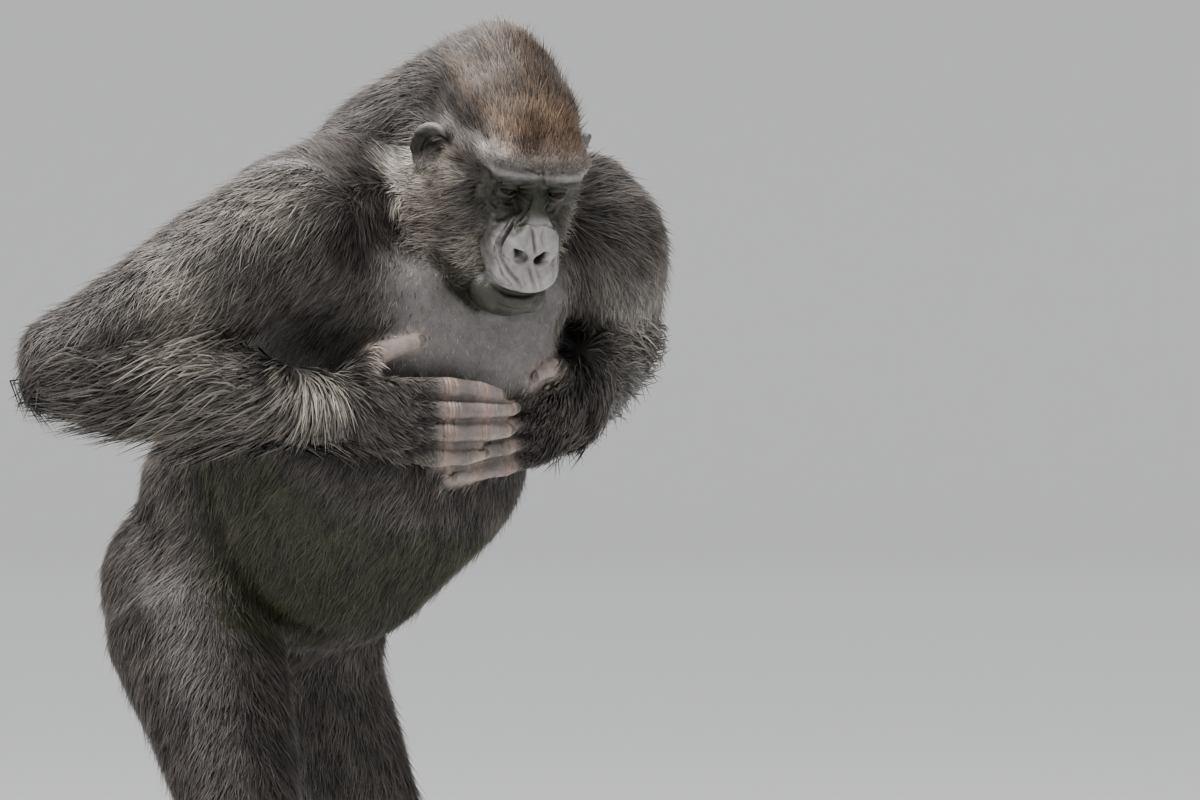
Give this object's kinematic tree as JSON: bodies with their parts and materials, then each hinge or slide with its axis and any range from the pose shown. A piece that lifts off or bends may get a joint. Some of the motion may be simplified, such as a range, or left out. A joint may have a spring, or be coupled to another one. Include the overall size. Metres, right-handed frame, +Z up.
{
  "type": "gorilla",
  "caption": "Life-size gorilla figure standing on its hind legs, leaning forward and looking down, with its hands held together in front of its belly.",
  "frame": {"origin": "on the floor, at the centre of the bounding box seen from above", "axes": "+Z up, the animal faces -Y, its left side is towards +X"},
  "size_m": [1.1078, 0.6996, 1.3292],
  "materials": {
    "coat": "short to shaggy dark grey-brown hair with pale tips, matt with a soft sheen",
    "skin": "bare wrinkled grey-black skin, satin, paler on the fingers and the chest",
    "eye": "wet dark brown",
    "nail": "dark horn, satin"
  },
  "bodies": {
    "root": {"neck": "coat", "chest": "coat", "abdomen": "coat", "pelvis": "coat", "thigh_right": "coat", "thigh_left": "coat", "shin_right": "coat", "shin_left": "coat", "upper_arm_right": "coat", "upper_arm_left": "coat", "forearm_right": "coat", "forearm_left": "coat", "head": "coat", "hand_right": "skin", "hand_left": "skin", "foot_right": "skin", "foot_left": "skin", "ear_right": "skin", "ear_left": "skin", "eye_right": "eye", "eye_left": "eye"}
  },
  "joints": []
}
